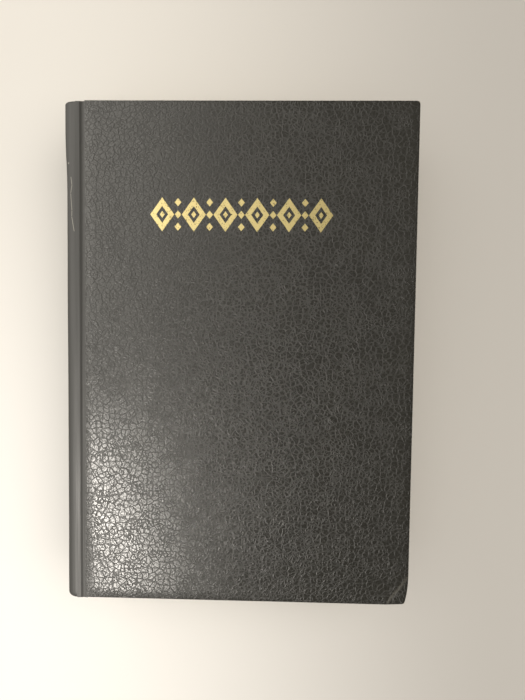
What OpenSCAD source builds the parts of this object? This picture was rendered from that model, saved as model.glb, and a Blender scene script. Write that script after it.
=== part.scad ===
// A thick case-bound book lying on its back cover.
// +X points from the spine to the fore-edge, +Y to the head, +Z up through the thickness.
// The origin is under the middle of the case. Millimetres.

/* [Text block] */
// Width of a trimmed page, from the fold to the fore-edge
page_w = 138; // [105:1:170]
// Height of a trimmed page, from tail to head
page_h = 205; // [150:1:250]
// Thickness of one leaf of thin paper
leaf_t = 0.05; // [0.04:0.005:0.08]
// Leaves in one folded section
section_leaves = 32; // [24:4:40]
// Sections in each half of the block
half_sections = 10; // [6:1:12]
// Thickness of the sewing thread
thread_t = 0.4; // [0.3:0.05:0.6]
// Rows of stitches along the back
thread_rows = 7; // [4:1:10]

/* [Case] */
// Thickness of the grey board in the covers
board_t = 2.5; // [1.5:0.1:3.5]
// Thickness of the board in the spine
spine_board_t = 2; // [1.2:0.1:2.6]
// Thickness of the leatherette
skin_t = 0.4; // [0.25:0.05:0.6]
// Width of the leatherette turned in over the boards
turn_in = 15; // [10:1:20]
// Overhang of the case beyond the pages
square_w = 3; // [2:0.5:5]
// Width of the spine's shoulder seen from above
shoulder_w = 4.3; // [3.6:0.1:5]
// Distance from the spine's outer face to the edge of the covers
cover_start = 7; // [6.6:0.1:9]
// Rounding of the spine's long edges
shoulder_r = 1.6; // [1:0.1:1.9]
// Rounding of the case's corners, seen from above
corner_r = 1.5; // [0.5:0.1:2.5]

/* [Linings] */
// Thickness of the endpapers
endpaper_t = 0.2; // [0.12:0.02:0.3]
// Width of the glued edge of the flyleaf
tip_w = 4; // [3:0.5:6]
// Thickness of the open cotton cloth (mull) glued to the back
mull_t = 0.3; // [0.2:0.05:0.4]
// Width of the mull's flap on each board
mull_flap_w = 25; // [15:1:35]
// Distance of the mull's ends from the ends of the pages
mull_short = 12; // [8:1:20]
// Thickness of the kraft paper lining over the mull
lining_t = 0.2; // [0.15:0.05:0.3]
// Diameter of the headbands' rolled edge
band_d = 1.6; // [1.2:0.1:2]
// Height of the headbands' cloth tab
band_tab = 8; // [6:1:10]

/* [Foil ornament] */
// Height of the ornament's tall lozenges
ornament_h = 14; // [8:1:20]
// Width of one tall lozenge
lozenge_w = 10; // [6:0.5:12]
// Distance from one tall lozenge to the next
ornament_pitch = 13.2; // [11:0.2:16]
// Number of tall lozenges
lozenges = 6; // [2:1:7]
// Distance of the ornament's middle line from the head of the case
ornament_drop = 46.8; // [20:0.2:90]
// Depth that the hot stamp pressed the foil into the leatherette
foil_t = 0.1; // [0.05:0.01:0.15]

/* [Fits] */
// Gap between the block's back and the spine lining's moving pieces
back_gap = 0.15; // [0.1:0.05:0.3]
// Gap between a joint strip and the pieces beside it
joint_gap = 0.3; // [0.2:0.05:0.5]
// Height of the cover's hinge line above the case's face
hinge_rise = 0.3; // [0.3:0.1:1]
// Gap between the flyleaf and its glued edge
fold_gap = 0.2; // [0.1:0.05:0.4]

/* [Hidden] */
$fn = 48;
tiny = 0.01;

// A section is a folded bundle of leaves. Ten lie below the middle of the block and ten above.
section_t = section_leaves * leaf_t;
sections = 2 * half_sections;
block_t = sections * section_t;

// Each cover is skin, board, turned-in skin (with a card that levels it) and two endpapers.
cover_t = 2 * skin_t + board_t + endpaper_t;
case_t = 2 * (cover_t + endpaper_t) + block_t;
block_z = cover_t + endpaper_t;
middle_z = case_t / 2;

// The layers on the block's back, from the spine board inwards.
tab_t = lining_t + mull_t;
back_in = shoulder_w + joint_gap;
case_w = back_in + page_w + square_w;
case_h = page_h + 2 * square_w;
spine_x = -case_w / 2;
back_x = spine_x + back_in;
thread_x = back_x - thread_t;
mull_x = thread_x - back_gap - mull_t;
lining_x = mull_x - lining_t;
fore_x = case_w / 2;
cover_x = spine_x + cover_start;
cover_w = fore_x - cover_x;

// The groove between shoulder and cover, and the hinge line above it.
groove_x = spine_x + shoulder_w + joint_gap;
groove_w = cover_x - joint_gap - groove_x;
groove_depth = board_t;
cover_hinge_x = groove_x + groove_w / 2;
cover_hinge_z = case_t + hinge_rise;
tip_x = max(back_x, cover_x) + tip_w;

// Every section is a node of its own, numbered from the back cover up.
SECTION_NODES = [for (i = [1:sections]) str("section_", i)];
CASE_NODES = [
    "back_board", "back_leatherette", "back_infill_card", "back_mull_flap", "back_pastedown",
    "back_flyleaf", "rear_joint", "rear_sewing", "spine_board", "spine_leatherette",
    "spine_lining", "mull", "headband", "tailband", "front_sewing", "front_joint",
    "front_flyleaf_tip", "front_flyleaf", "front_board", "front_leatherette",
    "front_infill_card", "front_mull_flap", "front_pastedown", "foil_ornament"
];

// A block from one corner, centred along Y.
module slab(x, z, width, height, length) {
    translate([x, -length / 2, z]) cube([width, length, height]);
}

// A plate whose two fore-edge corners are rounded, seen from above.
module rounded_plate(x, z, width, height, length, radius) {
    translate([x, -length / 2, z])
        linear_extrude(height) {
            square([width - radius, length]);
            translate([0, radius]) square([width, length - 2 * radius]);
            for (y = [radius, length - radius]) translate([width - radius, y]) circle(radius);
        }
}

// Turns a front piece over to make its twin at the back.
module at_back() {
    translate([0, 0, case_t]) mirror([0, 0, 1]) children();
}

// ---- Covers: each front piece is made in place, and its twin is turned over ----

module cover_board() {
    rounded_plate(cover_x + skin_t, case_t - skin_t - board_t, cover_w - 2 * skin_t, board_t,
        case_h - 2 * skin_t, corner_r - skin_t / 2);
}

// One sheet glued over the board and turned in on three sides.
module cover_skin() {
    difference() {
        rounded_plate(cover_x, case_t - board_t - 2 * skin_t, cover_w, board_t + 2 * skin_t,
            case_h, corner_r);
        cover_board();
        infill_space();
    }
}

module infill_space() {
    slab(cover_x - tiny, case_t - board_t - 2 * skin_t - tiny, cover_w - turn_in + tiny,
        skin_t + tiny, case_h - 2 * turn_in);
}

// Thin card that levels the board between the turn-ins, cut away where the mull is glued.
module infill_card() {
    slab(cover_x + skin_t + mull_flap_w, case_t - board_t - 2 * skin_t,
        cover_w - turn_in - skin_t - mull_flap_w, skin_t, case_h - 2 * turn_in);
}

module mull_flap() {
    slab(cover_x + skin_t, case_t - board_t - skin_t - mull_t, mull_flap_w, mull_t, mull_l);
}

mull_l = min(page_h - 2 * mull_short, case_h - 2 * turn_in);

module pastedown() {
    slab(cover_x, case_t - cover_t, cover_w - square_w, endpaper_t, page_h);
}

module flyleaf(from_x) {
    slab(from_x, case_t - block_z, back_x + page_w - from_x, endpaper_t, page_h);
}

module joint_strip() {
    slab(groove_x, case_t - groove_depth - skin_t, groove_w, skin_t, case_h);
}

module ornament_2d() {
    half_h = ornament_h / 2;
    translate([0, case_h / 2 - ornament_drop]) {
        for (i = [0:lozenges - 1]) translate([(i - (lozenges - 1) / 2) * ornament_pitch, 0]) {
            difference() {
                lozenge(lozenge_w, ornament_h);
                lozenge(lozenge_w * 0.5, ornament_h * 0.5);
            }
            lozenge(lozenge_w * 0.2, ornament_h * 0.2);
        }
        for (i = [1:lozenges - 1]) translate([(i - lozenges / 2) * ornament_pitch, 0])
            for (y = [-half_h * 0.72, 0, half_h * 0.72]) translate([0, y])
                lozenge(lozenge_w * 0.28, ornament_h * 0.24);
    }
}

module lozenge(width, height) {
    polygon([[-width / 2, 0], [0, -height / 2], [width / 2, 0], [0, height / 2]]);
}

module front_board() color("tan") cover_board();
module front_infill_card() color("burlywood") infill_card();
module front_mull_flap() color("wheat") mull_flap();
module front_pastedown() color("ivory") pastedown();
module front_leatherette() color("#24221f") difference() {
    cover_skin();
    translate([0, 0, case_t - foil_t]) linear_extrude(1) ornament_2d();
}
module foil_ornament() color("#d9bf66")
    translate([0, 0, case_t - foil_t]) linear_extrude(foil_t) ornament_2d();

module back_board() color("tan") at_back() cover_board();
module back_infill_card() color("burlywood") at_back() infill_card();
module back_mull_flap() color("wheat") at_back() mull_flap();
module back_pastedown() color("ivory") at_back() pastedown();
module back_leatherette() color("#24221f") at_back() cover_skin();

// ---- Endpapers and joints ----

module front_flyleaf() color("ivory") flyleaf(tip_x + fold_gap);
module front_flyleaf_tip() color("ivory") intersection() {
    flyleaf(back_x);
    slab(back_x, case_t - block_z, tip_x - back_x, endpaper_t, page_h);
}
module back_flyleaf() color("ivory") at_back() flyleaf(back_x);
module front_joint() color("#1d1b19") joint_strip();
module rear_joint() color("#1d1b19") at_back() joint_strip();

// ---- Spine ----

// The outline of the spine's leatherette across the book: a channel with rounded long edges
// and a lip that goes down into each groove.
module spine_profile(inset) {
    low = inset;
    high = case_t - inset;
    radius = shoulder_r - inset;
    translate([low, low + radius]) square([shoulder_w - low, high - low - 2 * radius]);
    translate([low + radius, low]) square([shoulder_w - low - radius, high - low]);
    for (z = [low + radius, high - radius]) translate([low + radius, z]) circle(radius);
}

// Extrudes an outline drawn in X and Z along Y, over a length centred on the book.
module along_y(length) {
    translate([spine_x, length / 2, 0]) rotate([90, 0, 0]) linear_extrude(length) children();
}

module spine_leatherette() color("#1d1b19") {
    lip_x = shoulder_w - skin_t;
    mouth_z = skin_t + groove_depth;
    difference() {
        union() {
            along_y(case_h) difference() {
                spine_profile(0);
                intersection() {
                    spine_profile(skin_t);
                    translate([-1, 0]) square([lip_x + 1, case_t]);
                }
                translate([lip_x - tiny, mouth_z]) square([shoulder_w, case_t - 2 * mouth_z]);
            }
            for (side = [-1, 1]) spine_turn_in(side);
        }
        rounded_ends(0);
    }
}

// The leatherette folded over one end of the spine board and glued inside it.
module spine_turn_in(side) {
    inside = case_t - 2 * skin_t;
    mirror([0, (1 - side) / 2, 0]) {
        translate([spine_x + skin_t, case_h / 2 - skin_t, skin_t])
            cube([spine_board_t, skin_t, inside]);
        translate([spine_x + skin_t + spine_board_t, case_h / 2 - turn_in, skin_t])
            cube([skin_t, turn_in, inside]);
    }
}

// What is cut from the ends of the spine's long edges to round them, seen from above.
module rounded_ends(inset) {
    radius = corner_r - inset / 2;
    for (side = [-1, 1]) mirror([0, (1 - side) / 2, 0])
        translate([spine_x + inset, case_h / 2 - inset, -1]) linear_extrude(case_t + 2) difference() {
            translate([-1, -radius]) square([radius + 1, radius + 1]);
            translate([radius, -radius]) circle(radius);
        }
}

module spine_board() color("tan") difference() {
    slab(spine_x + skin_t, shoulder_r, spine_board_t, case_t - 2 * shoulder_r, case_h - 2 * skin_t);
    rounded_ends(skin_t);
}

module mull() color("wheat") slab(mull_x, block_z, mull_t, block_t, mull_l);
module spine_lining() color("peru") slab(lining_x, block_z, lining_t, block_t, mull_l);

// A strip of cloth rolled over a cord: the roll lies on the ends of the pages, and its tab
// is glued to the block's back.
module end_band(side) {
    roll_x = mull_x + band_d / 2;
    roll_y = page_h / 2 + joint_gap + band_d / 2;
    mirror([0, (1 - side) / 2, 0]) {
        translate([roll_x, roll_y, block_z]) cylinder(h = block_t, d = band_d);
        translate([mull_x, page_h / 2 - band_tab, block_z])
            cube([mull_t, band_tab + joint_gap + band_d / 2, block_t]);
    }
}

module headband() color("gainsboro") end_band(1);
module tailband() color("gainsboro") end_band(-1);

// ---- Text block ----

// One folded section: straight leaves with a round fold at the back.
module section(number) {
    fold_r = section_t / 2;
    color(number % 2 == 0 ? "#f4efe2" : "#efe9da")
        translate([back_x, page_h / 2, block_z + (number - 1) * section_t])
            rotate([90, 0, 0]) linear_extrude(page_h) {
                translate([fold_r, 0]) square([page_w - fold_r, section_t]);
                translate([fold_r, fold_r]) circle(fold_r);
            }
}

// The stitches that run over the folds of one half of the sections.
module sewing(from_z) {
    span = mull_l - 2 * mull_short;
    for (i = [0:thread_rows - 1])
        translate([thread_x, (i / (thread_rows - 1) - 0.5) * span - thread_t / 2, from_z])
            cube([thread_t, thread_t, block_t / 2]);
}

module rear_sewing() color("white") sewing(block_z);
module front_sewing() color("white") sewing(middle_z);

back_board();
back_leatherette();
back_infill_card();
back_mull_flap();
back_pastedown();
back_flyleaf();
rear_joint();
rear_sewing();
spine_board();
spine_leatherette();
spine_lining();
mull();
headband();
tailband();
front_sewing();
front_joint();
front_flyleaf_tip();
front_flyleaf();
front_board();
front_leatherette();
front_infill_card();
front_mull_flap();
front_pastedown();
foil_ornament();
for (i = [1:sections])
    section(i);
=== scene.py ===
import math
import random

import bmesh
import bpy
from mathutils import Matrix, Vector, noise


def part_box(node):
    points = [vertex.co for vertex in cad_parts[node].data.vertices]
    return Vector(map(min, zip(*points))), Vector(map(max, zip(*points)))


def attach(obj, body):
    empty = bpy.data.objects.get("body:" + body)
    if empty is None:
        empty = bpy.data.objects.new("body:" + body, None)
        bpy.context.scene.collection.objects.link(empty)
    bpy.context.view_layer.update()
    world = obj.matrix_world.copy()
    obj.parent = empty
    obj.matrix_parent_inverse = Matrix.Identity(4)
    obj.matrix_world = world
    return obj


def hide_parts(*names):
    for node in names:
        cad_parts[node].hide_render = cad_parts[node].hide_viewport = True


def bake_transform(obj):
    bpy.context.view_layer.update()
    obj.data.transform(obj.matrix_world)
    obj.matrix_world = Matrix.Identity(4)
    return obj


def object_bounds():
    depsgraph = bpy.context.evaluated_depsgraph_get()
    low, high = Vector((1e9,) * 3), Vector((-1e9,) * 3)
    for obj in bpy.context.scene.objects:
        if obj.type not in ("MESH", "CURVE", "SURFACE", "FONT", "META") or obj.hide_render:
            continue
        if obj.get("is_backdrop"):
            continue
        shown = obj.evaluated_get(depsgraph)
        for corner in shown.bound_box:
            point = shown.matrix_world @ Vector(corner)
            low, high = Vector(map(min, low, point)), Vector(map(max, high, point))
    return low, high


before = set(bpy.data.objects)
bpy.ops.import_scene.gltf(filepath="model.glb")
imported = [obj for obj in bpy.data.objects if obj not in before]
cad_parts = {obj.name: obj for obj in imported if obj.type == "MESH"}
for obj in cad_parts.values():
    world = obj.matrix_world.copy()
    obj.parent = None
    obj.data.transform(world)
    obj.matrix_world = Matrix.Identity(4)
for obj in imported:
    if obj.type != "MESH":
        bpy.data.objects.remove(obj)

cad_low, cad_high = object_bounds()

# ---- Camera ----
# It looks down on the front cover from 27 cm above the table, tilted and turned by up to three
# degrees. Its short lens takes in the whole book from so near.
MM = 0.001
CAMERA_PLACE = Vector((15.55, 13.6, 266.3)) * MM
CAMERA_TURN = (-2.72, 1.57, 0.71)
SENSOR_LENGTH = 36
LENS_LENGTH = 27.89

camera_data = bpy.data.cameras.new("camera")
camera_data.sensor_width = SENSOR_LENGTH
camera_data.lens = LENS_LENGTH
camera_data.clip_start = 0.01
camera = bpy.data.objects.new("camera", camera_data)
camera.location = CAMERA_PLACE
camera.rotation_euler = [math.radians(angle) for angle in CAMERA_TURN]
bpy.context.scene.collection.objects.link(camera)
bpy.context.scene.camera = camera

# ---- Sections ----
# Twenty bundles of thin paper, folded at the back, sewn through the fold and trimmed on three sides.
# The trim leaves the leaves' edges slightly uneven.
LEAF_STEP = 0.2 * MM
TRIM_PLAY = 0.11 * MM
BEND_LENGTH = 42 * MM
BEND_MARGIN = 4 * MM
BEND_STEP = 2.2 * MM
FLAT_STEP = 20 * MM
LONG_STEP = 25 * MM
FOLD_SHARE = 0.49
TOUCHING = 1e-6

EDGE_LINE_GAP = 0.25 * MM
EDGE_LINE_LENGTH = 111 * MM
MOTTLE_SIZE = 30 * MM
PRINT_PITCH = 3.1 * MM
WORD_LENGTH = 2.4 * MM
WORD_SHIFT = 3.7
PRINT_COLUMNS = ((-52 * MM, 1.5 * MM), (5.5 * MM, 59 * MM))
PRINT_HEIGHT = (-88 * MM, 88 * MM)
PRINT_MARGIN = 0.2 * MM
PAGE_REACH = 0.1 * MM
INK_STRENGTH = 0.6


def linear(hex_colour):
    """The linear colour of an sRGB hex value."""
    parts = [int(hex_colour[i:i + 2], 16) / 255 for i in (1, 3, 5)]
    return [c / 12.92 if c <= 0.04045 else ((c + 0.055) / 1.055) ** 2.4 for c in parts] + [1]


def add_node(tree, kind, inputs=(), output=0, **settings):
    """Adds a shader node and gives one of its outputs.

    inputs maps a socket's name or number to a value, to a hex colour or to the output that feeds it."""
    node = tree.nodes.new("ShaderNode" + kind)
    for name, value in settings.items():
        setattr(node, name, value)
    for socket, value in dict(inputs).items():
        if isinstance(value, bpy.types.NodeSocket):
            tree.links.new(value, node.inputs[socket])
        else:
            node.inputs[socket].default_value = linear(value) if isinstance(value, str) else value
    return node.outputs[output]


def start_material(name, **settings):
    """A material with a Principled shader whose plain values are set on its own sockets."""
    material = bpy.data.materials.new(name)
    material.use_nodes = True
    shader = material.node_tree.nodes["Principled BSDF"]
    for socket, value in settings.items():
        shader.inputs[socket.replace("_", " ")].default_value = value
    return material, material.node_tree, shader


def shape_surface(tree, shader, height, depth, strength=1.0):
    """Gives a shader the relief of a height pattern, depth deep."""
    relief = add_node(tree, "Bump", {"Height": height, "Distance": depth, "Strength": strength})
    tree.links.new(relief, shader.inputs["Normal"])


def finish_piece(name, shape, material, smooth_angle=40):
    """Makes the object from a bmesh, keeps its shut-book place as an attribute and smooths it."""
    bmesh.ops.recalc_face_normals(shape, faces=shape.faces)
    mesh = bpy.data.meshes.new(name)
    shape.to_mesh(mesh)
    shape.free()
    mesh.materials.append(material)
    place = mesh.attributes.new("place", "FLOAT_VECTOR", "POINT")
    place.data.foreach_set("vector", [c for v in mesh.vertices for c in v.co])
    mesh.shade_smooth()
    mesh.set_sharp_from_angle(angle=math.radians(smooth_angle))
    piece = bpy.data.objects.new(name, mesh)
    bpy.context.scene.collection.objects.link(piece)
    return piece


def block_between(low, high):
    """A box from its lowest to its highest corner."""
    shape = bmesh.new()
    size, middle = high - low, (low + high) / 2
    bmesh.ops.create_cube(shape, size=1, matrix=Matrix.Translation(middle) @ Matrix.Diagonal((*size, 1)))
    return shape


def cut_across(shape, axis, places):
    """Cuts the whole shape at each place along an axis."""
    normal = Vector([float(i == axis) for i in range(3)])
    for place in places:
        everything = shape.verts[:] + shape.edges[:] + shape.faces[:]
        bmesh.ops.bisect_plane(shape, geom=everything, plane_co=normal * place, plane_no=normal)


def steps(start, end, step):
    """Places between two ends, about a step apart, without the ends."""
    count = max(1, round((end - start) / step))
    return [start + (end - start) * i / count for i in range(1, count)]


def back_edges(shape, low):
    """The long edges at the lowest X, along Y."""
    return [e for e in shape.edges if all(abs(v.co.x - low.x) < TOUCHING for v in e.verts)
            and abs(e.verts[0].co.y - e.verts[1].co.y) > MM]


def round_edges(shape, edges, radius, segments):
    """Rounds some edges to a radius."""
    bmesh.ops.bevel(shape, geom=edges, offset=radius, offset_type="OFFSET", segments=segments,
                    profile=0.5, affect="EDGES", material=-1)


def within(tree, value, low, high, soft):
    """1 between low and high, 0 outside, soft at both ends."""
    above = add_node(tree, "MapRange", {0: value, 1: low - soft, 2: low}, interpolation_type="SMOOTHSTEP")
    below = add_node(tree, "MapRange", {0: value, 1: high, 2: high + soft, 3: 1, 4: 0},
                     interpolation_type="SMOOTHSTEP")
    return add_node(tree, "Math", {0: above, 1: below}, operation="MULTIPLY")


def printed_columns(tree, parts, level):
    """Two columns of broken grey bars, a stand-in for print, on the pages that meet at a level."""
    x, y, z = parts
    row = add_node(tree, "Math", {0: y, 1: PRINT_PITCH}, operation="DIVIDE")
    whole_row = add_node(tree, "Math", {0: row}, operation="FLOOR")
    run = add_node(tree, "Math", {0: x, 1: WORD_LENGTH}, operation="DIVIDE")
    shift = add_node(tree, "Math", {0: whole_row, 1: WORD_SHIFT}, operation="MULTIPLY")
    spot = add_node(tree, "CombineXYZ", {0: run, 1: shift})
    gaps = add_node(tree, "TexNoise", {"Vector": spot, "Scale": 1, "Detail": 2})
    words = add_node(tree, "MapRange", {0: gaps, 1: 0.4, 2: 0.46}, interpolation_type="SMOOTHSTEP")

    off_line = add_node(tree, "Math", {0: y, 1: PRINT_PITCH / 2}, operation="PINGPONG")
    line = add_node(tree, "MapRange", {0: off_line, 1: 0.3 * PRINT_PITCH / 2, 2: 0.45 * PRINT_PITCH / 2,
                                       3: 1, 4: 0}, interpolation_type="SMOOTHSTEP")
    bar = add_node(tree, "Math", {0: words, 1: line}, operation="MULTIPLY")

    left, right = [within(tree, x, low, high, PRINT_MARGIN) for low, high in PRINT_COLUMNS]
    columns = add_node(tree, "Math", {0: left, 1: right}, operation="ADD")
    height = within(tree, y, *PRINT_HEIGHT, PRINT_MARGIN)
    block = add_node(tree, "Math", {0: columns, 1: height}, operation="MULTIPLY")
    on_page = within(tree, z, level - PAGE_REACH, level + PAGE_REACH, PAGE_REACH / 2)
    there = add_node(tree, "Math", {0: block, 1: on_page}, operation="MULTIPLY")
    ink = add_node(tree, "Math", {0: bar, 1: there}, operation="MULTIPLY")
    return add_node(tree, "Math", {0: ink, 1: INK_STRENGTH}, operation="MULTIPLY")


def thin_paper(name, low, high):
    """Uncoated thin book paper: matt, off-white, a little mottled. Its trimmed edges show fine lines.

    Real edges are 0.05 mm apart; they are drawn 0.25 mm apart, as close as shows. The flat pages lie
    at whole sections, where the lines are left out."""
    material, tree, shader = start_material(name, Roughness=0.85, Specular_IOR_Level=0.25)
    place = add_node(tree, "Attribute", output="Vector", attribute_name="place")
    parts = [add_node(tree, "SeparateXYZ", {0: place}, output=axis) for axis in "XYZ"]

    per_metre = (1 / EDGE_LINE_LENGTH, 1 / EDGE_LINE_LENGTH, 1 / EDGE_LINE_GAP)
    stretched = add_node(tree, "VectorMath", {0: place, 1: per_metre}, operation="MULTIPLY")
    lines = add_node(tree, "TexNoise", {"Vector": stretched, "Scale": 1, "Detail": 2})
    line = add_node(tree, "MapRange", {0: lines, 1: 0.62, 2: 0.4}, interpolation_type="SMOOTHSTEP")
    above = add_node(tree, "Math", {0: parts[2], 1: low.z}, operation="SUBTRACT")
    level = add_node(tree, "Math", {0: above, 1: (high.z - low.z) / len(section_names)}, operation="DIVIDE")
    off_page = add_node(tree, "Math", {0: level, 1: 0.5}, operation="PINGPONG")
    at_edge = add_node(tree, "MapRange", {0: off_page, 1: 0.015, 2: 0.05}, interpolation_type="SMOOTHSTEP")
    line_share = add_node(tree, "Math", {0: line, 1: at_edge}, operation="MULTIPLY")

    mottle = add_node(tree, "TexNoise", {"Vector": place, "Scale": 1 / MOTTLE_SIZE, "Detail": 3})
    tone = add_node(tree, "Mix", {0: mottle, 6: "#EFE9D8", 7: "#E8DFCA"}, 2, data_type="RGBA")
    print_share = printed_columns(tree, parts, (low.z + high.z) / 2)
    page = add_node(tree, "Mix", {0: print_share, 6: tone, 7: "#4A4743"}, 2, data_type="RGBA")
    colour = add_node(tree, "Mix", {0: line_share, 6: page, 7: "#D0C5AB"}, 2, data_type="RGBA")
    tree.links.new(colour, shader.inputs["Base Color"])
    shape_surface(tree, shader, line_share, 0.05 * MM)
    return material


section_names = sorted((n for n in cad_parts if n.startswith("section_")), key=lambda n: int(n[8:]))
half_count = len(section_names) // 2
block_low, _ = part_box(section_names[0])
_, block_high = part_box(section_names[-1])
page_paper = thin_paper("uncoated_thin_book_paper", block_low, block_high)
play = random.Random(5)

for number, node_name in enumerate(section_names):
    low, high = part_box(node_name)
    thickness = high.z - low.z
    bend_end = low.x + BEND_LENGTH + BEND_MARGIN
    section = block_between(low, high)
    round_edges(section, back_edges(section, low), thickness * FOLD_SHARE, 3)
    leaf_levels = steps(low.z, high.z, LEAF_STEP)
    cut_across(section, 2, leaf_levels)
    cut_across(section, 0, steps(low.x + thickness, bend_end, BEND_STEP))
    cut_across(section, 0, steps(bend_end, high.x, FLAT_STEP))
    cut_across(section, 1, steps(low.y, high.y, LONG_STEP))
    uneven = {round(z, 6): play.uniform(0, TRIM_PLAY) for z in [low.z, *leaf_levels, high.z]}
    for vert in section.verts:
        back_off = uneven.get(round(vert.co.z, 6), 0)
        if vert.co.x > high.x - TOUCHING:
            vert.co.x -= back_off
        if abs(vert.co.y) > high.y - TOUCHING:
            vert.co.y -= math.copysign(back_off, vert.co.y)
    piece = finish_piece("leaves_" + node_name, section, page_paper, 30)
    half = "root" if number < half_count else "front_half"
    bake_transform(piece)
    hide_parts(node_name)

# ---- Sewing ----
# White cotton thread, sewn through each fold; it shows as short stitches over the folds. It is matt,
# with a soft sheen, and its twist gives it fine darker bands.
STITCH_ROWS = 7
STITCH_SHARE = 0.48
TWIST_PITCH = 0.524 * MM

thread_cotton, tree, shader = start_material("spun_cotton_thread", Roughness=0.8, Sheen_Weight=0.3)
place = add_node(tree, "Attribute", output="Vector", attribute_name="place")
twist = add_node(tree, "TexWave", {"Vector": place, "Scale": math.tau / (20 * TWIST_PITCH)})
colour = add_node(tree, "Mix", {0: twist, 6: "#CFC8B8", 7: "#EFEADC"}, 2, data_type="RGBA")
tree.links.new(colour, shader.inputs["Base Color"])

for node_name, half in (("rear_sewing", "root"), ("front_sewing", "front_half")):
    low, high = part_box(node_name)
    radius = (high.x - low.x) / 2
    row_gap = (high.y - low.y - 2 * radius) / (STITCH_ROWS - 1)
    stitch_height = (high.z - low.z) / half_count
    stitch_size = Matrix.Diagonal((radius, radius, stitch_height * STITCH_SHARE, 1))
    sewing = bmesh.new()
    for row in range(STITCH_ROWS):
        for level in range(half_count):
            centre = Vector((low.x + radius, low.y + radius + row * row_gap,
                             low.z + (level + 0.5) * stitch_height))
            bmesh.ops.create_uvsphere(sewing, u_segments=8, v_segments=6, radius=1,
                                      matrix=Matrix.Translation(centre) @ stitch_size)
    piece = finish_piece("stitches_" + node_name, sewing, thread_cotton, 60)
    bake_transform(piece)
    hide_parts(node_name)

# ---- Mull and spine lining ----
# Open cotton gauze is glued to the block's back and to both boards, and brown kraft paper over it.
# Gauze shows its threads, and kraft paper its darker flecks.
GAUZE_PITCH = 0.9 * MM
BOARD_CLOUD_SIZE = 16.7 * MM


def woven_cloth(name, dark, light, pitch):
    """Plain-woven cotton: threads one pitch apart both ways, matt, with a little sheen."""
    material, tree, shader = start_material(name, Roughness=0.9, Sheen_Weight=0.2)
    place = add_node(tree, "TexCoord", output="Object")
    along, across, up = [add_node(tree, "TexWave", {"Vector": place, "Scale": math.tau / (20 * pitch)},
                                  bands_direction=direction) for direction in "XYZ"]
    flat = add_node(tree, "Math", {0: along, 1: across}, operation="MAXIMUM")
    weave = add_node(tree, "Math", {0: flat, 1: up}, operation="MULTIPLY")
    colour = add_node(tree, "Mix", {0: weave, 6: dark, 7: light}, 2, data_type="RGBA")
    tree.links.new(colour, shader.inputs["Base Color"])
    shape_surface(tree, shader, weave, pitch / 4)
    return material


def plain_board(name, light, dark, fleck, fleck_size):
    """Grey board, card or kraft: pressed fibres that show as flecks and a faint tooth."""
    material, tree, shader = start_material(name, Roughness=0.9, Specular_IOR_Level=0.2)
    place = add_node(tree, "TexCoord", output="Object")
    cloud = add_node(tree, "TexNoise", {"Vector": place, "Scale": 1 / BOARD_CLOUD_SIZE, "Detail": 4})
    fibre = add_node(tree, "TexNoise", {"Vector": place, "Scale": 1 / fleck_size, "Detail": 3})
    fibre_share = add_node(tree, "MapRange", {0: fibre, 1: 0.62, 2: 0.72})
    tone = add_node(tree, "Mix", {0: cloud, 6: light, 7: dark}, 2, data_type="RGBA")
    colour = add_node(tree, "Mix", {0: fibre_share, 6: tone, 7: fleck}, 2, data_type="RGBA")
    tree.links.new(colour, shader.inputs["Base Color"])
    shape_surface(tree, shader, fibre, 0.05 * MM, 0.5)
    return material


def dress(material, slot_name, *node_names):
    """Gives CAD nodes, whose shape is right, their material."""
    for node_name in node_names:
        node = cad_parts[node_name]
        node.data.materials.clear()
        node.data.materials.append(material)


gauze = woven_cloth("open_cotton_gauze", "#A39A82", "#DDD5BF", GAUZE_PITCH)
dress(gauze, "mull_cloth", "mull", "back_mull_flap", "front_mull_flap")
kraft = plain_board("brown_kraft_paper", "#A9825A", "#94704A", "#7A5A3A", 0.6 * MM)
dress(kraft, "kraft_paper", "spine_lining")

# ---- Headband and tailband ----
# A strip of cotton rolled over a cord and glued to the back, so that the roll lies on the leaves' ends.
# The cotton is striped grey and white, matt, with a soft sheen.
WRAP_STEP = 0.6 * MM
WRAP_DEPTH = 0.06
TAB_LENGTH = 8 * MM
STRIPE_PITCH = 1.208 * MM

band_cotton, tree, shader = start_material("striped_band_cotton", Roughness=0.75, Sheen_Weight=0.25)
place = add_node(tree, "Attribute", output="Vector", attribute_name="place")
stripe = add_node(tree, "TexWave", {"Vector": place, "Scale": math.tau / (20 * STRIPE_PITCH)},
                  bands_direction="Z")
stripe_share = add_node(tree, "MapRange", {0: stripe, 1: 0.35, 2: 0.65})
colour = add_node(tree, "Mix", {0: stripe_share, 6: "#C9C2B2", 7: "#F0ECE2"}, 2, data_type="RGBA")
tree.links.new(colour, shader.inputs["Base Color"])
shape_surface(tree, shader, stripe, 0.1 * MM)

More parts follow.
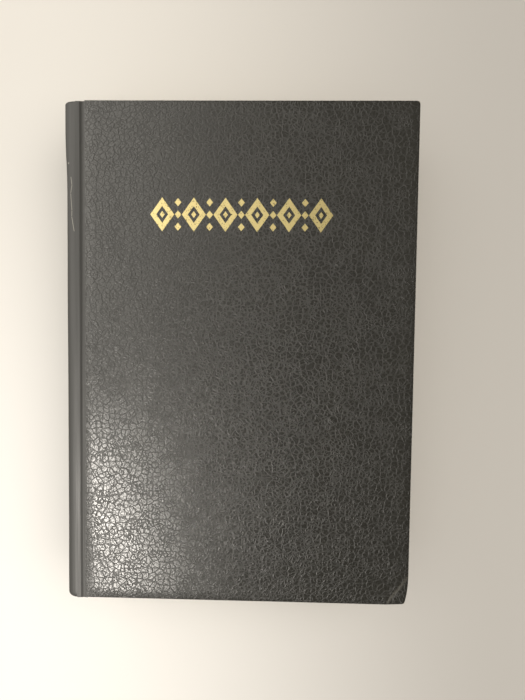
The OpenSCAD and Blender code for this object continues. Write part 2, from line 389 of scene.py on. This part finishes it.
mull_low, mull_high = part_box("mull")
for node_name, side in (("headband", 1), ("tailband", -1)):
    low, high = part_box(node_name)
    roll_radius = (high.x - low.x) / 2
    roll_y = side * (max(abs(low.y), abs(high.y)) - roll_radius)
    roll_middle = Vector((low.x + roll_radius, roll_y, (low.z + high.z) / 2))
    band = bmesh.new()
    bmesh.ops.create_cone(band, cap_ends=True, segments=20, radius1=roll_radius, radius2=roll_radius,
                          depth=high.z - low.z, matrix=Matrix.Translation(roll_middle))
    cut_across(band, 2, steps(low.z, high.z, WRAP_STEP))
    for vert in band.verts:
        away = Vector((vert.co.x - roll_middle.x, vert.co.y - roll_middle.y, 0))
        wrap = 1 - WRAP_DEPTH * (round((vert.co.z - low.z) / WRAP_STEP) % 2)
        vert.co.x = roll_middle.x + away.x * wrap
        vert.co.y = roll_middle.y + away.y * wrap
    tab_ends = sorted((side * (block_high.y - TAB_LENGTH), roll_y))
    tab = block_between(Vector((low.x, tab_ends[0], low.z)),
                        Vector((low.x + mull_high.x - mull_low.x, tab_ends[1], high.z)))
    tab_mesh = bpy.data.meshes.new("tab")
    tab.to_mesh(tab_mesh)
    tab.free()
    band.from_mesh(tab_mesh)
    bpy.data.meshes.remove(tab_mesh)
    piece = finish_piece("rolled_" + node_name, band, band_cotton, 60)
    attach(piece, "spine")
    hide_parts(node_name)

# ---- Boards ----
# Dense grey board for the covers and the spine, with a thin card between the turned-in edges.
# The front cover's lower fore-edge corner has been knocked: bent up along a crease, its tip pushed in.
CREASE_START = Vector((71.8, -93.7)) * MM
CREASE_END = Vector((63.8, -104.4)) * MM
CREASE_LIFT = math.tan(math.radians(5))
CREASE_SOFTNESS = 0.5 * MM
TIP_PUSH = 27
TIP_RISE = 0.1
CORNER_REACH = 14 * MM
CORNER_STEP = 1 * MM


def knock_corner(shape):
    """Bends the shape's part past the crease up and pushes its tip in."""
    crease = (CREASE_END - CREASE_START).normalized()
    outward = Vector((-crease.y, crease.x))
    for vert in shape.verts:
        past = (vert.co.xy - CREASE_START).dot(outward)
        lift = (past + math.hypot(past, CREASE_SOFTNESS)) / 2
        vert.co += Vector((-TIP_PUSH * lift ** 2, TIP_RISE * lift, CREASE_LIFT * lift))


def knocked_sheet(name, node_name, material):
    """A flat node of the front cover, with the same knocked corner as the leatherette round it."""
    low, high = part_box(node_name)
    sheet = block_between(low, high)
    cut_across(sheet, 0, steps(high.x - CORNER_REACH, high.x, CORNER_STEP))
    cut_across(sheet, 1, steps(low.y, low.y + CORNER_REACH, CORNER_STEP))
    knock_corner(sheet)
    piece = finish_piece(name, sheet, material, 30)
    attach(piece, "front_cover")
    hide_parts(node_name)


grey_board = plain_board("pressed_grey_board", "#8F877A", "#7C7468", "#5E574D", 0.7 * MM)
dress(grey_board, "grey_board", "back_board", "spine_board")
knocked_sheet("front_board_knocked", "front_board", grey_board)
thin_card = plain_board("thin_infill_card", "#B7AD9A", "#A39986", "#8A8070", 0.6 * MM)
dress(thin_card, "infill_card", "front_infill_card", "back_infill_card")

# ---- Endpapers ----
# Smooth, stouter paper, cream with a faint tooth: one half is pasted to the board, the other is the
# free flyleaf. The front flyleaf is tipped to the first section along its fold.
CURL_LENGTH = 9 * MM
CURL_MARGIN = 2 * MM
CURL_STEP = 1 * MM
FLYLEAF_STEP = 12 * MM
CROSSING_STEP = 0.2 * MM
ENDPAPER_CLOUD_SIZE = 45.5 * MM
ENDPAPER_FIBRE_SIZE = 0.5556 * MM

endpaper, tree, shader = start_material("smooth_endpaper", Roughness=0.8, Specular_IOR_Level=0.3)
place = add_node(tree, "TexCoord", output="Object")
cloud = add_node(tree, "TexNoise", {"Vector": place, "Scale": 1 / ENDPAPER_CLOUD_SIZE, "Detail": 4})
fibre = add_node(tree, "TexNoise", {"Vector": place, "Scale": 1 / ENDPAPER_FIBRE_SIZE, "Detail": 2})
cream = add_node(tree, "Mix", {0: cloud, 6: "#EFE9DA", 7: "#E3DBC7"}, 2, data_type="RGBA")
colour = add_node(tree, "Mix", {0: fibre, 6: cream, 7: "#E9E2D0"}, 2, data_type="RGBA")
tree.links.new(colour, shader.inputs["Base Color"])
shape_surface(tree, shader, fibre, 0.02 * MM, 0.5)
dress(endpaper, "endpaper", "back_pastedown", "back_flyleaf")
knocked_sheet("front_pastedown_knocked", "front_pastedown", endpaper)

tip_low, tip_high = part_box("front_flyleaf_tip")
leaf_low, leaf_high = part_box("front_flyleaf")
curl_end = tip_high.x + CURL_LENGTH
flyleaf = block_between(Vector((tip_low.x, leaf_low.y, leaf_low.z)), leaf_high)
cut_across(flyleaf, 0, steps(tip_high.x - CURL_MARGIN, curl_end + CURL_MARGIN, CURL_STEP))
cut_across(flyleaf, 0, steps(curl_end + CURL_MARGIN, leaf_high.x, FLYLEAF_STEP))
piece = finish_piece("flyleaf_front", flyleaf, endpaper)
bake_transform(piece)
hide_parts("front_flyleaf", "front_flyleaf_tip")

# Between the pasted half and the fold the endpaper runs freely across the joint.
for side in ("front", "back"):
    low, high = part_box(side + "_pastedown")
    crossing = block_between(Vector((tip_low.x, low.y, low.z)), Vector((low.x, high.y, high.z)))
    cut_across(crossing, 0, steps(tip_low.x, low.x, CROSSING_STEP))
    piece = finish_piece("endpaper_crossing_" + side, crossing, endpaper)
    if side == "front":
        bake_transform(piece)
    else:
        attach(piece, "root")

# ---- Leatherette ----
# Black imitation leather: vinyl-coated paper embossed with a crackle grain. Flat glossy islands about
# 2.4 mm across stand between narrow rough cracks, so islands mirror a lamp and cracks only glow. The
# grain is pressed out where the skin is stretched over the spine's shoulders and down the joints.
GRAIN_SIZE = 2.4 * MM
CRACK_WIDTH = 0.47 * MM
GRAIN_DEPTH = 0.06 * MM
PORE_SIZE = 0.4 * MM
PORE_DEPTH = 0.12
STREAK_DEPTH = 0.7
STREAK_WIDTH = 2 / 3 * MM
STREAK_LENGTH = 45.5 * MM
CRACK_ROUGHNESS = 0.41
STREAK_ROUGHNESS = 0.28
POLISH_SIZE = 9 * MM
FADING_SIZE = 22 * MM
SHOULDER_END = cad_low.x + 4.7 * MM
GRAIN_START = cad_low.x + 7.3 * MM
SCRATCH_PATH = ((-71.4, 74.1), (-70.95, 70.6), (-71.5, 67.2), (-71.0, 60.0), (-71.1, 57.6), (-70.0, 51.3))
SCRATCH_WIDTH = 0.22 * MM
SCRATCH_STRENGTH = 0.27
SCUFF_PATH = ((-72.8, 79.2), (-72.2, 80.1))
SCUFF_WIDTH = 0.5 * MM
WORN_CREASE_PATH = ((72.6, -92.6), (63.6, -104.8))
WORN_CREASE_WIDTH = 0.9 * MM
WORN_CREASE_STRENGTH = 0.1
middle_z = (cad_low.z + cad_high.z) / 2


def wandering(tree, place, size, reach):
    """Moves a pattern's places about, so that its lines wander."""
    cloud = add_node(tree, "TexNoise", {"Vector": place, "Scale": 1 / size, "Detail": 2}, "Color")
    drift = add_node(tree, "VectorMath", {0: cloud, 1: (0.5, 0.5, 0.5)}, operation="SUBTRACT")
    return add_node(tree, "VectorMath", {0: drift, 1: (reach, reach, reach), 2: place},
                    operation="MULTIPLY_ADD")


def cracks(tree, place, size, width, gap_share):
    """Crack lines between cells of a size; some stretches are missing, as in a real embossing."""
    from_edge = add_node(tree, "TexVoronoi", {"Vector": place, "Scale": 1 / size}, "Distance",
                         feature="DISTANCE_TO_EDGE", voronoi_dimensions="2D")
    line = add_node(tree, "MapRange", {0: from_edge, 1: 0.12 * width / size, 2: 0.6 * width / size,
                                       3: 1, 4: 0}, interpolation_type="SMOOTHSTEP")
    cloud = add_node(tree, "TexNoise", {"Vector": place, "Scale": 1 / (0.7 * size), "Detail": 2})
    there = add_node(tree, "MapRange", {0: cloud, 1: gap_share - 0.06, 2: gap_share + 0.06},
                     interpolation_type="SMOOTHSTEP")
    return add_node(tree, "Math", {0: line, 1: there}, operation="MULTIPLY")


def worn_line(tree, place, start, end, width):
    """A worn line between two places on the front, 1 at its middle and 0 at its sides."""
    start, end = [Vector((*corner, 0)) * MM for corner in (start, end)]
    line = end - start
    along, across = line.normalized(), Vector((-line.y, line.x, 0)).normalized()
    away = add_node(tree, "VectorMath", {0: place, 1: start}, operation="SUBTRACT")
    forward, sideways = [add_node(tree, "VectorMath", {0: away, 1: direction}, "Value",
                                  operation="DOT_PRODUCT") for direction in (along, across)]
    off_line = add_node(tree, "Math", {0: sideways}, operation="ABSOLUTE")
    past_middle = add_node(tree, "Math", {0: forward, 1: line.length / 2}, operation="SUBTRACT")
    from_middle = add_node(tree, "Math", {0: past_middle}, operation="ABSOLUTE")
    inside = add_node(tree, "MapRange", {0: from_middle, 1: line.length / 2 - width,
                                         2: line.length / 2, 3: 1, 4: 0}, interpolation_type="SMOOTHSTEP")
    thin = add_node(tree, "MapRange", {0: off_line, 1: 0.2 * width, 2: width, 3: 1, 4: 0},
                    interpolation_type="SMOOTHSTEP")
    return add_node(tree, "Math", {0: thin, 1: inside}, operation="MULTIPLY")


leatherette, tree, shader = start_material("embossed_leatherette", Specular_IOR_Level=0.55)
place = add_node(tree, "Attribute", output="Vector", attribute_name="place")
place_x, place_z = [add_node(tree, "SeparateXYZ", {0: place}, output=axis) for axis in "XZ"]

# The grain is laid out on the unrolled sheet, so that it runs on round the edges.
past_middle = add_node(tree, "Math", {0: place_z, 1: middle_z}, operation="SUBTRACT")
from_middle = add_node(tree, "Math", {0: past_middle}, operation="ABSOLUTE")
turned_in = add_node(tree, "CombineXYZ", {0: from_middle, 1: from_middle})
unrolled = add_node(tree, "VectorMath", {0: place, 1: turned_in}, operation="ADD")
bent = wandering(tree, wandering(tree, unrolled, 1.1 * GRAIN_SIZE, 0.9 * GRAIN_SIZE), 0.9 * MM, 0.7 * MM)
coarse = cracks(tree, bent, GRAIN_SIZE, CRACK_WIDTH, 0.34)
fine = cracks(tree, bent, 0.55 * GRAIN_SIZE, 0.8 * CRACK_WIDTH, 0.42)
patches = add_node(tree, "TexNoise", {"Vector": place, "Scale": 1 / (2.5 * GRAIN_SIZE), "Detail": 2})
fine_patch = add_node(tree, "MapRange", {0: patches, 1: 0.46, 2: 0.6, 3: 0.35, 4: 0.95},
                      interpolation_type="SMOOTHSTEP")
fine_there = add_node(tree, "Math", {0: fine, 1: fine_patch}, operation="MULTIPLY")
all_cracks = add_node(tree, "Math", {0: coarse, 1: fine_there}, operation="MAXIMUM")

# It is left out on the shoulders and joints, but not on the spine's back.
off_shoulder = add_node(tree, "MapRange", {0: place_x, 1: GRAIN_START - 0.5 * MM,
                                           2: GRAIN_START + 0.4 * MM}, interpolation_type="SMOOTHSTEP")
on_web = add_node(tree, "MapRange", {0: from_middle, 1: middle_z - 4 * MM, 2: middle_z - 2 * MM,
                                     3: 1, 4: 0}, interpolation_type="SMOOTHSTEP")
grained = add_node(tree, "Math", {0: off_shoulder, 1: on_web}, operation="MAXIMUM")
crack = add_node(tree, "Math", {0: all_cracks, 1: grained}, operation="MULTIPLY")

# The stretched skin has long streaks instead, and the whole sheet has fine pores.
per_metre = (1 / STREAK_WIDTH, 1 / STREAK_LENGTH, 1 / STREAK_WIDTH)
long_way = add_node(tree, "VectorMath", {0: place, 1: per_metre}, operation="MULTIPLY")
streak = add_node(tree, "TexNoise", {"Vector": long_way, "Scale": 1, "Detail": 2})
streaky = add_node(tree, "MapRange", {0: grained, 1: 0, 2: 1, 3: STREAK_DEPTH, 4: 0},
                   interpolation_type="SMOOTHSTEP")
smooth_height = add_node(tree, "Math", {0: streak, 1: streaky}, operation="MULTIPLY")
pores = add_node(tree, "TexNoise", {"Vector": place, "Scale": 1 / PORE_SIZE, "Detail": 2})
pitted = add_node(tree, "Math", {0: pores, 1: PORE_DEPTH, 2: smooth_height}, operation="MULTIPLY_ADD")
height = add_node(tree, "Math", {0: pitted, 1: crack}, operation="SUBTRACT")
shape_surface(tree, shader, height, GRAIN_DEPTH)

polish = add_node(tree, "TexNoise", {"Vector": place, "Scale": 1 / POLISH_SIZE, "Detail": 2})
island_gloss = add_node(tree, "MapRange", {0: polish, 1: 0.3, 2: 0.7, 3: 0.2, 4: 0.24},
                        interpolation_type="SMOOTHSTEP")
grain_gloss = add_node(tree, "Mix", {0: crack, 2: island_gloss, 3: CRACK_ROUGHNESS})
joint_gloss = add_node(tree, "MapRange", {0: place_x, 1: SHOULDER_END, 2: SHOULDER_END + 0.8 * MM,
                                          3: 0.3, 4: 0.36}, interpolation_type="SMOOTHSTEP")
smooth_gloss = add_node(tree, "Math", {0: streak, 1: STREAK_ROUGHNESS, 2: joint_gloss},
                        operation="MULTIPLY_ADD")
rough = add_node(tree, "Mix", {0: grained, 2: smooth_gloss, 3: grain_gloss})
tree.links.new(rough, shader.inputs["Roughness"])

# Handling has left a thin kinked scratch and a scuff by the spine, and paled the knocked corner's crease.
on_front = add_node(tree, "MapRange", {0: place_z, 1: cad_high.z - 9 * MM, 2: cad_high.z - 6 * MM},
                    interpolation_type="SMOOTHSTEP")
scratch = 0.0
for start, end in zip(SCRATCH_PATH, SCRATCH_PATH[1:]):
    stretch = worn_line(tree, place, start, end, SCRATCH_WIDTH)
    scratch = add_node(tree, "Math", {0: scratch, 1: stretch}, operation="MAXIMUM")
scuff = worn_line(tree, place, *SCUFF_PATH, SCUFF_WIDTH)
worn = add_node(tree, "Math", {0: scratch, 1: scuff}, operation="MAXIMUM")
worn_through = add_node(tree, "Math", {0: worn, 1: SCRATCH_STRENGTH}, operation="MULTIPLY")
scraped = add_node(tree, "Math", {0: worn_through, 1: on_front}, operation="MULTIPLY")
crooked = wandering(tree, place, 5 * MM, 1.2 * MM)
crease_line = worn_line(tree, crooked, *WORN_CREASE_PATH, WORN_CREASE_WIDTH)
front_crease = add_node(tree, "Math", {0: crease_line, 1: on_front}, operation="MULTIPLY")
creased = add_node(tree, "Math", {0: front_crease, 1: WORN_CREASE_STRENGTH}, operation="MULTIPLY")

fading = add_node(tree, "TexNoise", {"Vector": place, "Scale": 1 / FADING_SIZE, "Detail": 3})
black = add_node(tree, "Mix", {0: fading, 6: "#1A1916", 7: "#1E1D18"}, 2, data_type="RGBA")
worn_black = add_node(tree, "Mix", {0: creased, 6: black, 7: "#8A857A"}, 2, data_type="RGBA")
colour = add_node(tree, "Mix", {0: scraped, 6: worn_black, 7: "#D9D4C8"}, 2, data_type="RGBA")
tree.links.new(colour, shader.inputs["Base Color"])

# ---- Covers ----
# Leatherette is glued round each board and turned in. The edges are soft and the outer face is not
# quite flat. The front one follows its board's knocked corner.
COVER_CORNER_R = 1.5 * MM
COVER_EDGE_R = 0.9 * MM
COVER_MARGIN = 2 * MM
COVER_STEP = 2.4 * MM
FOIL_PROUD = 0.03 * MM
WAVE_HEIGHT = 0.07 * MM
WAVE_LENGTH = 38 * MM
WAVE_START = 1.2 * MM
WAVE_GROWTH = 16 * MM


def cover_in_leatherette(name, node_name, outer_z, knocked):
    """A cover's skin, whose outer face lies at outer_z; the wave stays below that face."""
    low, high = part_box(node_name)
    cover = block_between(low, high)
    fore = [e for e in cover.edges if all(v.co.x > high.x - TOUCHING for v in e.verts)
            and abs(e.verts[0].co.z - e.verts[1].co.z) > MM]
    round_edges(cover, fore, COVER_CORNER_R, 4)
    rim = [e for e in cover.edges if abs(e.verts[0].co.z - e.verts[1].co.z) < TOUCHING]
    round_edges(cover, rim, COVER_EDGE_R, 4)
    cut_across(cover, 0, steps(low.x + COVER_MARGIN, high.x - COVER_MARGIN, COVER_STEP))
    cut_across(cover, 1, steps(low.y + COVER_MARGIN, high.y - COVER_MARGIN, COVER_STEP))
    for vert in cover.verts:
        if abs(vert.co.z - outer_z) > (high.z - low.z) / 2:
            continue
        growth = min(1, max(0, (vert.co.x - low.x - WAVE_START) / WAVE_GROWTH))
        wave = 1 + noise.noise(Vector((vert.co.x, vert.co.y, outer_z)) / WAVE_LENGTH)
        vert.co.z -= math.copysign(WAVE_HEIGHT * growth * wave + FOIL_PROUD, outer_z - middle_z)
    if knocked:
        knock_corner(cover)
    piece = finish_piece(name, cover, leatherette, 50)
    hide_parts(node_name)
    return piece


front_cover = cover_in_leatherette("front_cover_leatherette", "front_leatherette", cad_high.z, True)
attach(front_cover, "front_cover")
back_cover = cover_in_leatherette("back_cover_leatherette", "back_leatherette", 0, False)
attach(back_cover, "root")

# ---- Spine ----
# The spine board is wrapped in the same leatherette, which turns the shoulders on to the two faces.
# Its ends are rounded by handling, more at the tail, and it bulges outwards, more at the head.
SHOULDER_R = 3.4 * MM
SHOULDER_FLATNESS = 0.5
SPINE_SWELL = 0.65 * MM
HEAD_SWELL = 0.75 * MM
HEAD_SWELL_START = 70 * MM
HEAD_SWELL_LENGTH = 24 * MM
HEAD_SHORT = 0.6 * MM
HEAD_SHORT_REACH = 4 * MM
FLANGE_W = 3.6 * MM
SKIN_T = 0.4 * MM
HEAD_ROUND = 1.4 * MM
TAIL_ROUND = 2.3 * MM
END_DIP = 0.3
WOBBLE = 0.12 * MM
WOBBLE_LENGTH = 26 * MM
RING_STEP = 5 * MM

spine_low, spine_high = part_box("spine_leatherette")
_, board_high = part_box("spine_board")
web_x = board_high.x + SKIN_T
flange_x = spine_low.x + FLANGE_W


def end_inset(vert, low, high):
    """How far a vertex is drawn in by the quarter circle that rounds its end of the spine."""
    radius = HEAD_ROUND if vert.co.y > 0 else TAIL_ROUND
    depth = min(high.y - vert.co.y, vert.co.y - low.y)
    return radius - math.sqrt(max(0, radius ** 2 - max(0, radius - depth) ** 2))


def swept(outline, low_y, high_y):
    """Sweeps a closed outline in X and Z along Y."""
    shape = bmesh.new()
    face = shape.faces.new([shape.verts.new((x, low_y, z)) for x, z in outline])
    grown = bmesh.ops.extrude_face_region(shape, geom=[face])["geom"]
    bmesh.ops.translate(shape, verts=[g for g in grown if isinstance(g, bmesh.types.BMVert)],
                        vec=(0, high_y - low_y, 0))
    return shape


def ring_places(low_y, high_y):
    """Where rings go along a swept piece: close together at the rounded ends, further apart between."""
    near = [0.06 * MM, 0.2 * MM, 0.45 * MM, 0.8 * MM, 1.2 * MM, 1.7 * MM, 2.3 * MM, 3.2 * MM]
    ends = [low_y + distance for distance in near] + [high_y - distance for distance in near]
    return ends + steps(low_y + near[-1], high_y - near[-1], RING_STEP)


low, high = spine_low, spine_high
spine_outline = [(low.x, low.z), (flange_x, low.z), (flange_x, low.z + SKIN_T), (web_x, low.z + SKIN_T),
                 (web_x, high.z - SKIN_T), (flange_x, high.z - SKIN_T), (flange_x, high.z), (low.x, high.z)]
spine = swept(spine_outline, low.y, high.y)
round_edges(spine, back_edges(spine, low), SHOULDER_R, 7)
cut_across(spine, 1, ring_places(low.y, high.y))
cut_across(spine, 2, steps(low.z + SHOULDER_R, high.z - SHOULDER_R, RING_STEP))
for vert in spine.verts:
    depth = middle_z - abs(vert.co.z - middle_z)
    if depth < SHOULDER_R:
        vert.co.z += math.copysign((1 - SHOULDER_FLATNESS) * depth, vert.co.z - middle_z)
for vert in spine.verts:
    inset = end_inset(vert, low, high)
    outer = 1 - (vert.co.x - low.x) / FLANGE_W
    wobble = WOBBLE * noise.noise(Vector((0, vert.co.y, vert.co.z)) / WOBBLE_LENGTH)
    headward = min(1, max(0, (vert.co.y - HEAD_SWELL_START) / HEAD_SWELL_LENGTH))
    swell = SPINE_SWELL + HEAD_SWELL * headward ** 2 * (3 - 2 * headward)
    vert.co.x += (inset + wobble - swell) * outer
    vert.co.y -= HEAD_SHORT * max(0, 1 - (high.y - vert.co.y) / HEAD_SHORT_REACH)
    vert.co.z -= math.copysign(END_DIP * inset, vert.co.z - middle_z)
piece = finish_piece("spine_leather", spine, leatherette, 50)
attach(piece, "spine")
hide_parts("spine_leatherette")

# ---- French joints ----
# Beside each shoulder the leatherette is pressed down between the boards, which makes the hinge. The
# rear joint is one strip of skin; the front one is two, which meet at its bottom.
JOINT_DEPTH = 0.25 * MM
JOINT_SUNK = 0.015 * MM
JOINT_START = flange_x - 0.15 * MM
JOINT_BOTTOM = spine_low.x + 6.4 * MM
JOINT_END = spine_low.x + 8 * MM
JOINT_SHORT = 0.15 * MM
JOINT_STEP = 0.15 * MM


def joint_depth(x):
    """Depth of the pressed joint below the face: smoothly down and up again."""
    side = SHOULDER_END if x < JOINT_BOTTOM else JOINT_END
    share = min(1, (x - JOINT_BOTTOM) / (side - JOINT_BOTTOM))
    return JOINT_DEPTH * (1 + math.cos(math.pi * share)) / 2


def joint_strip(name, start_x, end_x, face_z, inward):
    """A strip of the joint between two places across it; inward is the way from the face to the pages."""
    across = [start_x, *steps(start_x, end_x, JOINT_STEP), end_x]
    face_side = [(x, face_z + inward * (JOINT_SUNK + joint_depth(x))) for x in across]
    page_side = [(x, z + inward * SKIN_T) for x, z in face_side]
    low_y, high_y = spine_low.y + JOINT_SHORT, spine_high.y - HEAD_SHORT
    strip = swept(face_side + page_side[::-1], low_y, high_y)
    cut_across(strip, 1, ring_places(low_y, high_y))
    piece = finish_piece(name, strip, leatherette, 60)
    return piece


spine_side = joint_strip("front_joint_spine_side", JOINT_START, JOINT_BOTTOM, spine_high.z, -1)
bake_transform(spine_side)
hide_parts("front_joint")
cover_side = joint_strip("front_joint_cover_side", JOINT_BOTTOM, JOINT_END, spine_high.z, -1)
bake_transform(cover_side)
rear_strip = joint_strip("rear_joint_strip", JOINT_START, JOINT_END, spine_low.z, 1)
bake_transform(rear_strip)
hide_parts("rear_joint")

# ---- Foil ornament ----
# Yellow metal foil pressed into the cover with a hot stamp. It bridges the grain's cracks poorly, so
# small dark pits show through it, and it is worn a little thin in patches.
PIT_SIZE = 0.55 * MM
PATCH_SIZE = 5 * MM
SPECK_SIZE = 0.3 * MM
FOIL_CREASE_SIZE = 0.8 * MM
FOIL_RELIEF = 0.03 * MM

foil, tree, shader = start_material("hot_stamped_gold_foil", Metallic=1.0)
place = add_node(tree, "TexCoord", output="Object")
pit_cloud, patch_cloud, speck_cloud, crease_cloud = [
    add_node(tree, "TexNoise", {"Vector": place, "Scale": 1 / size, "Detail": 2})
    for size in (PIT_SIZE, PATCH_SIZE, SPECK_SIZE, FOIL_CREASE_SIZE)]
pit = add_node(tree, "MapRange", {0: pit_cloud, 1: 0.6, 2: 0.68}, interpolation_type="SMOOTHSTEP")
thin = add_node(tree, "MapRange", {0: patch_cloud, 1: 0.35, 2: 0.65, 3: 0.5, 4: 1},
                interpolation_type="SMOOTHSTEP")
speck = add_node(tree, "MapRange", {0: speck_cloud, 1: 0.55, 2: 0.8, 3: 0, 4: 0.55},
                 interpolation_type="SMOOTHSTEP")
gold = add_node(tree, "Mix", {0: speck, 6: "#C3B480", 7: "#9C8853"}, 2, data_type="RGBA")
bare = add_node(tree, "Math", {0: pit, 1: thin}, operation="MULTIPLY")
colour = add_node(tree, "Mix", {0: bare, 6: gold, 7: "#3A3018"}, 2, data_type="RGBA")
tree.links.new(colour, shader.inputs["Base Color"])
rough = add_node(tree, "MapRange", {0: pit, 1: 0, 2: 1, 3: 0.42, 4: 0.7}, interpolation_type="SMOOTHSTEP")
tree.links.new(rough, shader.inputs["Roughness"])
creased_foil = add_node(tree, "Math", {0: crease_cloud, 1: pit}, operation="SUBTRACT")
shape_surface(tree, shader, creased_foil, FOIL_RELIEF)
dress(foil, "gold_foil", "foil_ornament")

# ---- Floor and light ----
# A plain pale laminate table under an even soft light from above. Its colour is painted lighter towards the
# lower left and greyer towards the right and the top: painted light and painted shade.
# Gloss mirrors a pale ceiling that is brightest on the left, and a window above the lower left corner.
FLOOR_REACH = 2
WARM_WHITE = "#FFF9F0"
WINDOW_SIZE = (0.11, 0.40)
WINDOW_RADIANCE = 47
WINDOW_PLACE = (-0.27, -0.34, 0.71)
WINDOW_TILT = (math.radians(-25), math.radians(18), 0)
SOFTBOX_SIZE = 0.9
SOFTBOX_POWER = 5.5
SOFTBOX_PLACE = Vector((0.45, 0.15, 0.8))
CEILING_LEAST = 0.26
CEILING_GAIN = 3.75
OVERHEAD_STRENGTH = 1.73
BACKGROUND_STRENGTH = 0.8

floor_shape = bmesh.new()
bmesh.ops.create_grid(floor_shape, x_segments=1, y_segments=1, size=FLOOR_REACH)
floor_paint, tree, shader = start_material("pale_matt_laminate", Roughness=0.7, Specular_IOR_Level=0.1)
place = add_node(tree, "TexCoord", output="Object")
floor_x, floor_y = [add_node(tree, "SeparateXYZ", {0: place}, output=axis) for axis in "XY"]
# Painted light and shade: the floor's colour is lighter towards the lower left and greyer towards the right
# and the top.
painted_shade_rightward = add_node(tree, "MapRange", {0: floor_x, 1: -0.13, 2: 0.14}, interpolation_type="SMOOTHSTEP")
painted_light_downward = add_node(tree, "MapRange", {0: floor_y, 1: 0.16, 2: -0.14}, interpolation_type="SMOOTHSTEP")
painted_light_left_tone = add_node(tree, "Mix", {0: painted_light_downward, 6: "#CECBC6", 7: "#E9E7E4"}, 2, data_type="RGBA")
painted_shade_right_tone = add_node(tree, "Mix", {0: painted_light_downward, 6: "#9F9C98", 7: "#A5A29E"}, 2, data_type="RGBA")
colour = add_node(tree, "Mix", {0: painted_shade_rightward, 6: painted_light_left_tone, 7: painted_shade_right_tone}, 2, data_type="RGBA")
tree.links.new(colour, shader.inputs["Base Color"])
floor = finish_piece("floor", floor_shape, floor_paint)
floor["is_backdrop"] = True

window_data = bpy.data.lights.new("window", "AREA")
window_data.shape = "RECTANGLE"
window_data.size, window_data.size_y = WINDOW_SIZE
window_data.energy = WINDOW_RADIANCE * math.pi * WINDOW_SIZE[0] * WINDOW_SIZE[1]
window_data.color = linear(WARM_WHITE)[:3]
window = bpy.data.objects.new("window", window_data)
window.location = WINDOW_PLACE
window.rotation_euler = WINDOW_TILT
window.visible_diffuse = False
bpy.context.scene.collection.objects.link(window)

softbox_data = bpy.data.lights.new("softbox", "AREA")
softbox_data.size = SOFTBOX_SIZE
softbox_data.energy = SOFTBOX_POWER
softbox_data.color = linear(WARM_WHITE)[:3]
softbox = bpy.data.objects.new("softbox", softbox_data)
softbox.location = SOFTBOX_PLACE
softbox.rotation_euler = (-SOFTBOX_PLACE).to_track_quat("-Z", "Y").to_euler()
softbox.visible_glossy = False
bpy.context.scene.collection.objects.link(softbox)

world = bpy.data.worlds.new("studio")
world.use_nodes = True
bpy.context.scene.world = world
tree = world.node_tree
toward = add_node(tree, "TexCoord", output="Generated")
toward_x, toward_y, toward_z = [add_node(tree, "SeparateXYZ", {0: toward}, output=axis) for axis in "XYZ"]
leftward = add_node(tree, "MapRange", {0: toward_x, 1: 0.25, 2: -0.3})
steep = add_node(tree, "Math", {0: leftward, 1: 4}, operation="POWER")
ceiling = add_node(tree, "Math", {0: steep, 1: CEILING_GAIN, 2: CEILING_LEAST}, operation="MULTIPLY_ADD")
height_share = add_node(tree, "MapRange", {0: toward_z, 1: 0.1, 2: 0.85, 3: 0.35, 4: 1},
                        interpolation_type="SMOOTHSTEP")
upward = add_node(tree, "MapRange", {0: toward_y, 1: -0.4, 2: 0.35, 3: 0.6, 4: 1.05},
                  interpolation_type="SMOOTHSTEP")
above_walls = add_node(tree, "Math", {0: ceiling, 1: height_share}, operation="MULTIPLY")
strength = add_node(tree, "Math", {0: above_walls, 1: upward}, operation="MULTIPLY")
height_squared = add_node(tree, "Math", {0: toward_z, 1: 2}, operation="POWER")
overhead = add_node(tree, "Math", {0: height_squared, 1: OVERHEAD_STRENGTH}, operation="MULTIPLY")

# Diffuse light comes evenly from overhead, and the camera sees a plain background.
for ray_kind, ray_strength in (("Is Diffuse Ray", overhead), ("Is Camera Ray", BACKGROUND_STRENGTH)):
    is_ray = add_node(tree, "LightPath", output=ray_kind)
    strength = add_node(tree, "Mix", {0: is_ray, 2: strength, 3: ray_strength})
tree.links.new(strength, tree.nodes["Background"].inputs["Strength"])
tree.nodes["Background"].inputs["Color"].default_value = linear("#FFFAF1")
bpy.context.scene.view_settings.view_transform = "Standard"

low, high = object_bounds()
